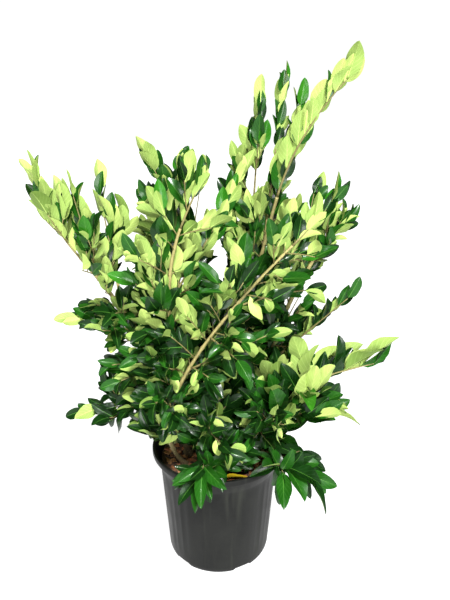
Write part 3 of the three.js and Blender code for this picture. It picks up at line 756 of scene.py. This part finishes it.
def leaf_vertices(root, direction, up, length, width, form):
    """All vertices of a leaf: folded along its midrib, curved along it and waved at the edge."""
    fold, curl, wave, phase, twist = form
    s = np.array([*LEAF_STATIONS, 1.0])
    half = half_width(s, width)
    half[-1] = 0
    sides = np.tile(np.array(LEAF_SIDES, float), (len(s), 1))
    blade = np.maximum(half, 0.01)
    rib = np.minimum(LEAF["rib_half"] * (1.1 - s), LEAF["rib_share"] * blade) / blade
    sides[:, 2], sides[:, 3] = -rib, rib
    bend = -curl * s ** LEAF["late_bend"]
    steps = np.diff(s, prepend=0) * length
    middle = np.stack([np.cumsum(np.cos(bend) * steps), np.cumsum(np.sin(bend) * steps)], axis=1)
    lift = np.abs(sides) ** LEAF["cup"] * half[:, None] * math.sin(fold)
    ripple = np.sin(LEAF["waves"] * s[:, None] + phase + LEAF["wave_lag"] * np.sign(sides))
    lift = lift + wave * half[:, None] * sides**2 * ripple
    lift = lift + twist * s[:, None] * sides * half[:, None]
    wide = sides * half[:, None] * math.cos(fold)
    by_rib = LEAF["rib_thick"] * (np.abs(sides) < 0.3) * (1 - s[:, None])
    thick = LEAF["thick"] * (1 - np.abs(sides) ** 3) + by_rib
    across = np.cross(up, direction)

    def placed(height):
        x = middle[:, 0, None] - np.sin(bend)[:, None] * height
        z = middle[:, 1, None] + np.cos(bend)[:, None] * height
        return root + x[..., None] * direction + wide[..., None] * across + z[..., None] * up

    upper, lower = placed(lift), placed(lift - thick)
    return np.concatenate([upper[:-1].reshape(-1, 3), upper[-1, :1], lower[1:-1, 1:-1].reshape(-1, 3)])


def leaning(tangent, turn, angle):
    """The direction that leans away from a stem's tangent, at a turn round it."""
    away = turned(unit(np.cross(tangent, UP)), tangent, turn)
    return tangent * math.cos(angle) + away * math.sin(angle)


def lit_from(root):
    """The way to the light in front, shorter towards the back of the plant."""
    return LIGHT_FROM * min(1.0, max(0.0, 1 - root[1] / BACK))


def outward(root):
    """Away from the middle of the plant, and to the front, where the light is."""
    return unit(np.array([root[0], root[1], 0.0]) + lit_from(root))


def leaf_up(tangent, direction, facing, roll):
    """Where a leaf's upper side looks: to the stem's tip and the side that it turns to."""
    up = tangent * abs(tangent[2]) + facing
    return turned(unit(up - direction * np.dot(up, direction)), direction, roll)


class Spray:
    """One leafy shoot: its twigs and its leaves."""

    def __init__(self, name, seed):
        self.name = name
        self.row = axis_rows[name]
        self.rng = random.Random(seed)
        _, _, tip, _, _, self.scale = SHOOTS[name]
        rise = (tip[2] - POISE_RISE["level_at"]) / POISE_RISE["over"]
        self.poise = POISE.get(name, min(POISE_RISE["most"], max(POISE_RISE["least"], rise)))
        self.height = min(1.0, max(0.0, (tip[2] - CROWN[0]) / (CROWN[1] - CROWN[0])))
        self.youth = YOUTH.get(name, self.height)
        self.turned = TURNED.get(name, blend(*LEAF["turned"], self.height**2))
        self.spacing = SPACING.get(name, 1)
        self.slim = SLIM.get(name, 1)
        self.twigs = Shape()
        self.leaves, self.kinds = [], []

    def either(self, most):
        return self.rng.uniform(-most, most)

    def skins(self, share):
        """Indices of the upper and lower skin of a leaf, fresher towards the tips of high shoots."""
        least, by_youth, by_place, chance, steps = FRESH
        fresh = least + by_youth * self.youth + by_place * share * self.youth + self.either(chance)
        upper = min(len(UPPER) - 1, max(0, int(fresh * steps)))
        least, by_youth, by_place, chance, steps = PALE
        pale = least + by_youth * self.youth + by_place * share + self.either(chance)
        lower = min(len(LOWER) - 1, max(0, int(pale * steps)))
        return upper, lower

    def add_leaf(self, root, tangent, turn, spread, size, share):
        """A leaf where one fits, a little smaller with each try."""
        level = 1 - abs(tangent[2])
        skins = self.skins(share)
        out = outward(root)
        across = lit_from(root) / np.linalg.norm(LIGHT_FROM)
        for attempt in range(SPRAY["tries"]):
            fitted = size * SPRAY["shrink"] ** attempt
            side = turn + self.either(SPRAY["turn_jitter"])
            direction = leaning(tangent, side, spread + self.either(LEAF["spread_jitter"]))
            if self.poise > 0:
                direction[2] = abs(direction[2])
            direction = direction + UP * self.poise * self.rng.uniform(*FORM["lift"])
            if share < 1:
                direction = direction - across * LEAF["flattened"] * np.dot(direction, across)
            direction = unit(direction)
            facing = out * LEAF["outward"] + UP * LEAF["skyward"]
            if self.rng.random() < self.turned:
                facing = out * -LEAF["inward"]
            up = leaf_up(tangent, direction, facing, self.either(LEAF["roll"]))
            form = (
                self.rng.uniform(*FORM["fold"]),
                self.rng.uniform(*FORM["curl"]) + FORM["level_curl"] * level,
                self.rng.uniform(*FORM["wave"]),
                self.rng.uniform(0, ROUND),
                self.either(FORM["twist"]),
            )
            width = LEAF["width"] * fitted * self.rng.uniform(*FORM["width"]) * self.slim
            vertices = leaf_vertices(root, direction, up, LEAF["length"] * fitted, width, form)
            body = vertices[STALK_ROWS * COLUMNS:len(LEAF_STATIONS) * COLUMNS + 1]
            if in_sky(body).sum() > LEAF["in_sky"]:
                continue
            if room.is_free(body, self.row, round(blend(*OWN_ROWS, level)) * COLUMNS):
                grid = body[:-1].reshape(-1, COLUMNS, 3)
                between = (grid[1:] + grid[:-1]) / 2
                room.take(np.concatenate([body, between.reshape(-1, 3)]), self.row)
                self.leaves.append(vertices)
                self.kinds.append(skins)
                return True
        return False

    def grow(self, curve, radii, internode, level):
        """A stem with side twigs and with leaf pairs, each turned a quarter; it ends at its last leaf."""
        turn = self.rng.random() * math.pi
        reach = 0.0
        before = len(self.leaves)
        places = np.arange(SPRAY["first"], curve.length - SPRAY["last"], internode * self.spacing)
        for pair, along in enumerate(places):
            share = along / curve.length
            root, tangent = curve.point(share), curve.tangent(share)
            foot = blend(*LEAF["spread"], abs(tangent[2]))
            spread = blend(foot, LEAF["spread_tip"], share)
            until = blend(*SPRAY["until"], abs(tangent[2]))
            branches = pair % SPRAY["twig_every"] == 1 and share < until and self.name not in SLENDER
            for side in (turn, turn + math.pi):
                grown = branches and level < 2 and self.grow_twig(curve, root, tangent, side, share, level)
                if not grown:
                    size = blend(*LEAF["size"], share) + self.either(LEAF["size_jitter"])
                    grown = self.add_leaf(root, tangent, side, spread, size * self.scale, share)
                reach = share if grown else reach
            turn += math.pi / 2
        tip, tangent = curve.point(1), curve.tangent(1)
        for times, side, spread in TIP_LEAVES:
            size = times * LEAF["size"][1] * self.scale
            if self.add_leaf(tip, tangent, turn + side, spread * LEAF["spread_last"], size, 1):
                reach = 1.0
        if level and len(self.leaves) < before + SPRAY["least_leaves"]:
            del self.leaves[before:], self.kinds[before:]
            return False
        if reach:
            rings = max(3, int(curve.length * reach / SPRAY["ring_pitch"]))
            radius = blend(*radii, np.linspace(0, reach, rings))
            stem = curve.stretch(0, float(curve.parameter(reach)))
            self.twigs.add(tube(stem, radius, SPRAY["sides"], rings), ring_faces(rings, SPRAY["sides"]))
        return reach > 0

    def grow_twig(self, parent, root, tangent, side, share, level):
        """A side twig where there is room for it."""
        length = SPRAY["twig_length"] if level == 0 else SPRAY["fine_share"] * parent.length
        length *= 1 - SPRAY["twig_shrink"] * share
        if level and parent.length < SPRAY["fine_least"]:
            return False
        direction = unit(leaning(tangent, side, SPRAY["twig_lean"]) + UP * max(0, self.poise))
        end = root + direction * length + UP * SPRAY["twig_rise"]
        curve = Curve(root, (root + end) / 2 - UP * SPRAY["twig_rise"] / 2, end)
        points = curve.point(np.linspace(0.3, 1, 8))
        if in_sky(points).any() or not in_own_space(points, self.name):
            return False
        if not room.is_free(points, self.row, len(points)):
            return False
        foot, tip = SPRAY["twig_radius"]
        foot *= 1 if level == 0 else SPRAY["fine_radius"]
        return self.grow(curve, (foot, tip), SPRAY["twig_internode"], level + 1)

    def pieces(self):
        """One piece of twigs and one of leaves, in place of the shoot's solid."""
        self.twigs.piece(f"twigs_{self.name}", [TWIG], slot="bark")
        count = len(self.leaves)
        faces = [tuple(v + i * len(OUTLINE) for v in f) for i in range(count) for f in FACES]
        skins = np.array(self.kinds)
        ribs = np.tile((len(UPPER) + len(LOWER), len(UPPER) + len(LOWER) + 1), (count, 1))
        table = np.column_stack([skins[:, 0], len(UPPER) + skins[:, 1], ribs])
        add_piece(
            f"leaves_{self.name}", np.concatenate(self.leaves), faces, LEAF_SKINS, table[:, KINDS].ravel(),
            uv=np.tile(CORNERS, (count, 1)), sharp=np.tile(OUTLINE, count), slot="foliage",
            stands_for=[f"foliage_{self.name}"],
        )


sprays = {name: Spray(name, seed) for seed, name in enumerate(axes, SPRAY["seed"])}
for name, axis in axes.items():
    internode = blend(*SPRAY["internode"], sprays[name].height)
    sprays[name].grow(axis, SPRAY["radius"], internode, 0)


def grow_spurs(stem, rng):
    """Short leafy twigs along a stem, each part of the spray whose space it grows into."""
    turn = rng.random() * math.pi
    along = SPUR["first"]
    while along < stem.length and stem.point(along / stem.length)[2] < SPUR["top"]:
        share = along / stem.length
        along += blend(*SPUR["pitch"], share)
        root, tangent = stem.point(share), stem.tangent(share)
        for side in (turn, turn + math.pi):
            lean = blend(*SPUR["lean"], share)
            end = root + leaning(tangent, side, lean) * rng.uniform(*SPUR["length"])
            curve = Curve(root, (root + end) / 2 + UP * SPUR["rise"], end)
            gaps = np.linalg.norm(axis_points - end, axis=-1).min(axis=1)
            spray = sprays[list(axes)[int(gaps.argmin())]]
            points = curve.point(np.linspace(0.4, 1, 8))
            if room.is_free(points, spray.row, len(points)):
                spray.grow(curve, SPRAY["twig_radius"], SPRAY["twig_internode"], 1)
        turn += math.pi / 2


for seed, stem in enumerate(stems.values(), SPUR["seed"]):
    grow_spurs(stem, random.Random(seed))
for spray in sprays.values():
    spray.pieces()


# Pot and bark mix


def pot_profile():
    """Radius and height round the pot's wall, from the middle of its underside to the middle of its floor."""
    p = POT
    lip, collar = p["height"] - p["lip_height"], p["height"] - p["collar_drop"]
    rounded = [
        (blend(p["base"], p["wall_foot"], math.sin(a)), p["foot_round"] * (1 - math.cos(a)))
        for a in np.linspace(0, math.pi / 2, 7)
    ]
    wall = [
        (blend(p["wall_foot"], p["wall_top"], t), blend(p["foot_round"], collar, t))
        for t in np.linspace(0.03, 0.985, 26)
    ]
    out = p["lip_under"] - p["wall"]
    flare = [
        (blend(p["wall_top"] + 0.8, out, t), blend(collar + 1, lip - 1, t))
        for t in (0, 0.1, 0.5, 0.94, 1)
    ]
    rim, top = p["rim"], p["height"]
    lip_edge = [
        (rim - 1.6, lip), (rim - 0.4, lip + 0.6), (rim, lip + 2),
        (rim, top - 2.2), (rim - 0.5, top - 0.7), (rim - 1.8, top),
        (out + 1, top), (out, top - 0.6), (out - 0.4, top - 2),
    ]
    inside = [
        (out - p["wall"], lip), (p["wall_top"] - p["wall"], collar),
        (p["wall_foot"] - p["wall"], p["foot_round"]), (p["base"], p["floor"]), (2, p["floor"]),
    ]
    return [(2, 0), (p["base"] - 12, 0), *rounded, *wall, *flare, *lip_edge, *inside]


def flute(angle, z):
    """Depth of the shallow upright flutes of the wall."""
    depth = 0.0
    for group in FLUTES["groups"]:
        for k in range(FLUTES["count"]):
            centre = group + (k - (FLUTES["count"] - 1) / 2) * FLUTES["pitch"]
            off = (angle - centre + 180) % 360 - 180
            depth = np.maximum(depth, np.clip(1 - (off / FLUTES["width"] * 2) ** 2, 0, 1))
    rise = np.clip((z - FLUTES["foot"]) / FLUTES["fade"], 0, 1)
    fall = np.clip((FLUTES["top"] - z) / FLUTES["fade"], 0, 1)
    return FLUTES["depth"] * depth * (rise * fall)


def add_pot():
    profile = np.array(pot_profile())
    sides = POT["segments"]
    degrees = np.arange(sides) * 360 / sides
    radius = profile[:, :1] - flute(degrees[None], profile[:, 1:])
    angle = np.radians(degrees) - math.pi / 2
    height = np.tile(profile[:, 1:], (1, sides))
    points = np.stack([radius * np.cos(angle), radius * np.sin(angle), height], axis=-1).reshape(-1, 3)
    shape = Shape()
    shape.add(points, ring_faces(len(profile), sides))
    pot = shape.piece("pot_shell", [PLASTIC], slot="pot", stands_for=["pot"])
    cutter_shape = Shape()
    for k in range(POT["drains"]):
        turn = POT["drain_turn"] - math.pi / 2 + k * 2 * math.pi / POT["drains"]
        out = np.array([math.cos(turn), math.sin(turn), 0])
        side = np.array([-math.sin(turn), math.cos(turn), 0])
        half, deep, tall = POT["drain_width"] / 2, POT["drain_depth"], POT["drain_height"]
        arch = [(w * half, h * tall) for w, h in DRAIN_ARCH]
        rings = [[out * (POT["wall_foot"] + d) + side * w + UP * h for w, h in arch] for d in (-deep, deep)]
        cutter_shape.add(np.array(rings).reshape(-1, 3), ring_faces(2, len(arch)))
    cutter = cutter_shape.piece("drain_cutter", [PLASTIC])
    cut = pot.modifiers.new("drains", "BOOLEAN")
    cut.object = cutter
    cut.solver = "EXACT"
    bpy.context.view_layer.update()
    carved = bpy.data.meshes.new_from_object(pot.evaluated_get(bpy.context.evaluated_depsgraph_get()))
    pot.modifiers.clear()
    pot.data = carved
    carved.name = "pot_shell"
    bpy.data.objects.remove(cutter)
    pot.data.set_sharp_from_angle(angle=POT["crisp"])


def add_soil():
    rng = random.Random(SOIL["seed"])
    rings, sides = SOIL["rings"], SOIL["segments"]
    bumps = [
        (rng.uniform(0.02, 0.12), rng.uniform(0.02, 0.12), rng.uniform(0, ROUND))
        for _ in range(SOIL["bumps"])
    ]

    def surface(x, y):
        waves = sum(np.sin(a * x + b * y + p) for a, b, p in bumps)
        return SOIL["top"] - SOIL["settled"] + SOIL["bump"] * waves / 4

    edge = inner_radius(SOIL["top"]) - 0.6
    angle = np.arange(sides) * 2 * math.pi / sides
    levels = [
        (POT["base"] - 1, POT["floor"] + 0.5),
        (inner_radius(SOIL["foot"]) - 0.8, SOIL["foot"]),
        (edge, SOIL["top"] - SOIL["shoulder"]),
    ]
    rows = [np.stack([r * np.cos(angle), r * np.sin(angle), np.full(sides, float(z))], 1) for r, z in levels]
    for share in np.linspace(1, 0.02, rings):
        x, y = edge * share * np.cos(angle), edge * share * np.sin(angle)
        rows.append(np.stack([x, y, surface(x, y)], 1))
    shape = Shape()
    shape.add(np.concatenate(rows), ring_faces(len(rows), sides))
    shape.piece("soil_bed", [PEAT], slot="soil", stands_for=["soil"])
    chips = Shape()
    corners = np.array([(x, y, z) for z in (-1, 1) for x, y in ((-1, -1), (1, -1), (1, 1), (-1, 1))], float)
    for _ in range(CHIP["count"]):
        reach, turn = (edge - CHIP["from_wall"]) * math.sqrt(rng.random()), rng.uniform(0, 2 * math.pi)
        x, y = reach * math.cos(turn), reach * math.sin(turn)
        size = np.array([rng.uniform(*CHIP[side]) for side in ("length", "width", "thick")])
        chipped = [[rng.uniform(*CHIP["chipped"]) for _ in range(3)] for _ in corners]
        points = corners * size * np.array(chipped)
        axis = unit(np.array([rng.uniform(-1, 1), rng.uniform(-1, 1), 0.01]))
        spin = rng.uniform(0, 2 * math.pi)
        tilt = rng.uniform(0, CHIP["tilt"])
        points = np.array([turned(turned(p, UP, spin), axis, tilt) for p in points])
        place = np.array([x, y, surface(x, y) + rng.uniform(*CHIP["lift"])])
        chips.add(points + place, ring_faces(2, 4), rng.randrange(len(CHIPS)))
    piece = chips.piece("soil_chips", CHIPS, slot="soil")
    piece.data.polygons.foreach_set("use_smooth", np.zeros(len(piece.data.polygons), bool))


def add_fallen_leaf():
    direction = unit(FALLEN_ALONG)
    up = leaf_up(UP, direction, UP, FALLEN_ROLL)
    vertices = leaf_vertices(FALLEN_ROOT, direction, up, *FALLEN_SIZE, FALLEN_FORM)
    add_piece("fallen_leaf", vertices, FACES, [FALLEN], uv=CORNERS, sharp=OUTLINE, slot="foliage")


add_pot()
add_soil()
add_fallen_leaf()


# Floor, light and camera

FLOOR_SIZE = 28  # metres
WORLD_SEEN, WORLD_LIT = 1.05, 0.03
WORLD_TINT = (1, 1, 0.78, 1)
LENS, SENSOR, CAMERA_TILT = 33.6, 36, math.radians(71.2)


def add_floor():
    mesh = bpy.data.meshes.new("floor")
    half = FLOOR_SIZE / 2
    corners = [(-half, -half, 0), (half, -half, 0), (half, half, 0), (-half, half, 0)]
    mesh.from_pydata(corners, [], [(0, 1, 2, 3)])
    mesh.materials.append(floor_material())
    floor = linked("floor", mesh)


def add_light(name, kind, place, aim, energy, **settings):
    data = bpy.data.lights.new(name, kind)
    data.energy = energy
    for key, value in settings.items():
        setattr(data, key, value)
    light = linked(name, data)
    light.location = place
    back = np.array(place) - np.array(aim)
    tip = math.acos(back[2] / np.linalg.norm(back))
    light.rotation_euler = (tip, 0, math.atan2(back[1], back[0]) + math.pi / 2)


def add_world():
    """White behind the object, and a dimmer white that lights it."""
    world = bpy.data.worlds.new("studio")
    bpy.context.scene.world = world
    world.use_nodes = True
    tree = world.node_tree
    tree.nodes.clear()

    def white(tint, strength):
        node = tree.nodes.new("ShaderNodeBackground")
        node.inputs[0].default_value = tint
        node.inputs[1].default_value = strength
        return node.outputs[0]

    path = tree.nodes.new("ShaderNodeLightPath")
    mix = tree.nodes.new("ShaderNodeMixShader")
    out = tree.nodes.new("ShaderNodeOutputWorld")
    tree.links.new(path.outputs["Is Camera Ray"], mix.inputs[0])
    tree.links.new(white(WORLD_TINT, WORLD_LIT), mix.inputs[1])
    tree.links.new(white((1, 1, 1, 1), WORLD_SEEN), mix.inputs[2])
    tree.links.new(mix.outputs[0], out.inputs[0])


def add_camera():
    """At the photo's place, tipped 18.8 degrees down."""
    data = bpy.data.cameras.new("camera")
    data.lens, data.sensor_width = LENS, SENSOR
    camera = linked("camera", data)
    camera.location = EYE * MM
    camera.rotation_euler = (CAMERA_TILT, 0, 0)
    bpy.context.scene.camera = camera


add_floor()
add_world()
add_light("key", "SUN", (0.4, -1.6, 2.6), (0, 0, 0.5), 8.2, angle=math.radians(10))
add_light("front", "AREA", (0.35, -2.0, 0.9), (0, 0, 0.45), 40, size=0.8)
add_light("left", "AREA", (-0.9, -1.8, 1.2), (0, 0, 0.5), 14, size=0.6)
add_camera()
bpy.context.scene.view_settings.view_transform = "Standard"
